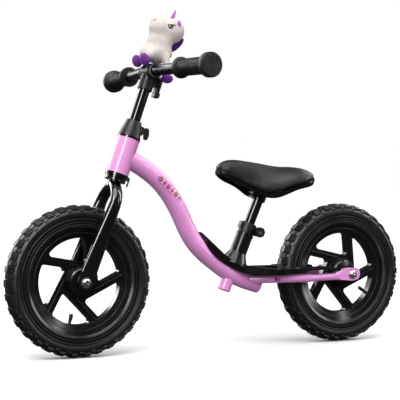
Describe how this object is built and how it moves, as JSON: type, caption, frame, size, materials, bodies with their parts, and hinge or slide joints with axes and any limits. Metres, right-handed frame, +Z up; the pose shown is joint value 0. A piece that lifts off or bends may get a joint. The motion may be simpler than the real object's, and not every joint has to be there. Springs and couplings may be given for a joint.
{
  "type": "balance bike",
  "caption": "Small two-wheeled push bike without pedals: bent tube frame, foam tyres, low saddle, moulded footrest and a plush toy on the handlebar.",
  "frame": {"origin": "on the ground under the bike's middle: centre of the bounding box's underside, midway between the two axles in the bike's middle plane", "axes": "+X towards the rear wheel, -X the way the bike rolls, +Y the rider's right-hand side, +Z up"},
  "size_m": [0.8812, 0.466, 0.6765],
  "materials": {
    "frame_paint": "gloss",
    "black_gloss_metal": "gloss",
    "bar_metal": "semi gloss",
    "black_plastic": "matt",
    "gloss_plastic": "gloss",
    "rim_plastic": "semi gloss",
    "tyre_foam": "matt",
    "grip_rubber": "matt",
    "bare_steel": "satin",
    "axle_bolt_steel": "bright",
    "saddle_cover": "soft satin",
    "plush_white": "short pile",
    "plush_purple": "felt",
    "plush_mane": "long pile",
    "plush_lilac": "felt",
    "toy_eye": "gloss",
    "strap_webbing": "woven"
  },
  "bodies": {
    "frame": {"main_frame": "frame_paint", "left_chainstay": "frame_paint", "right_chainstay": "frame_paint", "left_dropout": "frame_paint", "right_dropout": "frame_paint", "stay_bridge": "frame_paint", "footrest": "gloss_plastic", "footrest_screws": "bare_steel", "lower_headset_cup": "black_gloss_metal", "upper_headset_cup": "black_gloss_metal", "headset_bearings": "bare_steel", "steering_stop_tab": "black_gloss_metal", "rear_axle": "bare_steel", "rear_axle_spacers": "bare_steel", "rear_axle_washers": "bare_steel", "rear_axle_bolts": "axle_bolt_steel", "seat_clamp_collar": "black_plastic", "seat_clamp_bolt": "bare_steel"},
    "fork": {"fork": "black_gloss_metal", "crown_race": "black_gloss_metal", "steering_stop_plate": "black_gloss_metal", "height_clamp_collar": "black_plastic", "height_clamp_pin": "bare_steel", "front_axle": "bare_steel", "front_axle_spacers": "bare_steel", "front_axle_washers": "bare_steel", "front_axle_bolts": "axle_bolt_steel"},
    "height_lever": {"height_clamp_lever": "black_plastic"},
    "handlebar": {"stem_tube": "black_gloss_metal", "bar_clamp": "black_plastic", "bar_clamp_pin": "bare_steel", "handlebar": "bar_metal", "left_grip": "grip_rubber", "right_grip": "grip_rubber", "toy_body": "plush_white", "toy_hooves": "plush_purple", "toy_horn": "plush_lilac", "toy_ears": "plush_lilac", "toy_mane": "plush_mane", "toy_eyes": "toy_eye", "toy_straps": "strap_webbing"},
    "bar_latch": {"bar_clamp_latch": "black_plastic"},
    "front_wheel": {"front_rim": "rim_plastic", "front_tyre": "tyre_foam", "front_bearings": "bare_steel", "front_hub_covers": "gloss_plastic", "front_valve_stub": "black_plastic"},
    "rear_wheel": {"rear_rim": "rim_plastic", "rear_tyre": "tyre_foam", "rear_bearings": "bare_steel", "rear_hub_covers": "gloss_plastic", "rear_valve_stub": "black_plastic"},
    "seat": {"seat_post": "black_gloss_metal", "saddle_shell": "gloss_plastic", "saddle_cushion": "saddle_cover", "saddle_rails": "bare_steel", "saddle_clamp": "black_gloss_metal", "saddle_clamp_bolt": "bare_steel"},
    "seat_knob": {"seat_clamp_knob": "black_plastic"}
  },
  "joints": [
    {"name": "steering", "type": "hinge", "parent": "frame", "child": "fork", "pos_m": [-0.2153, 0, 0.3515], "axis": [0.3272, 0, 0.9449], "range_deg": [-50, 50]},
    {"name": "front_wheel_spin", "type": "hinge", "parent": "fork", "child": "front_wheel", "pos_m": [-0.29465, 0, 0.146], "axis": [0, 1, 0], "continuous": true},
    {"name": "rear_wheel_spin", "type": "hinge", "parent": "frame", "child": "rear_wheel", "pos_m": [0.29465, 0, 0.146], "axis": [0, 1, 0], "continuous": true},
    {"name": "handlebar_height", "type": "slide", "parent": "fork", "child": "handlebar", "axis": [0.3272, 0, 0.9449], "range_m": [-0.04, 0.025]},
    {"name": "height_lever_swing", "type": "hinge", "parent": "fork", "child": "height_lever", "pos_m": [-0.168, -0.008, 0.4346], "axis": [0.3272, 0, 0.9449], "range_deg": [-85, 0]},
    {"name": "bar_latch_swing", "type": "hinge", "parent": "handlebar", "child": "bar_latch", "pos_m": [-0.12943, 0, 0.52918], "axis": [0, 1, 0], "range_deg": [-100, 0]},
    {"name": "seat_height", "type": "slide", "parent": "frame", "child": "seat", "axis": [0.3987, 0, 0.9171], "range_m": [-0.045, 0.03]},
    {"name": "seat_knob_turn", "type": "hinge", "parent": "frame", "child": "seat_knob", "pos_m": [0.09167, -0.0193, 0.23405], "axis": [0, 1, 0], "range_deg": [-720, 0]}
  ]
}
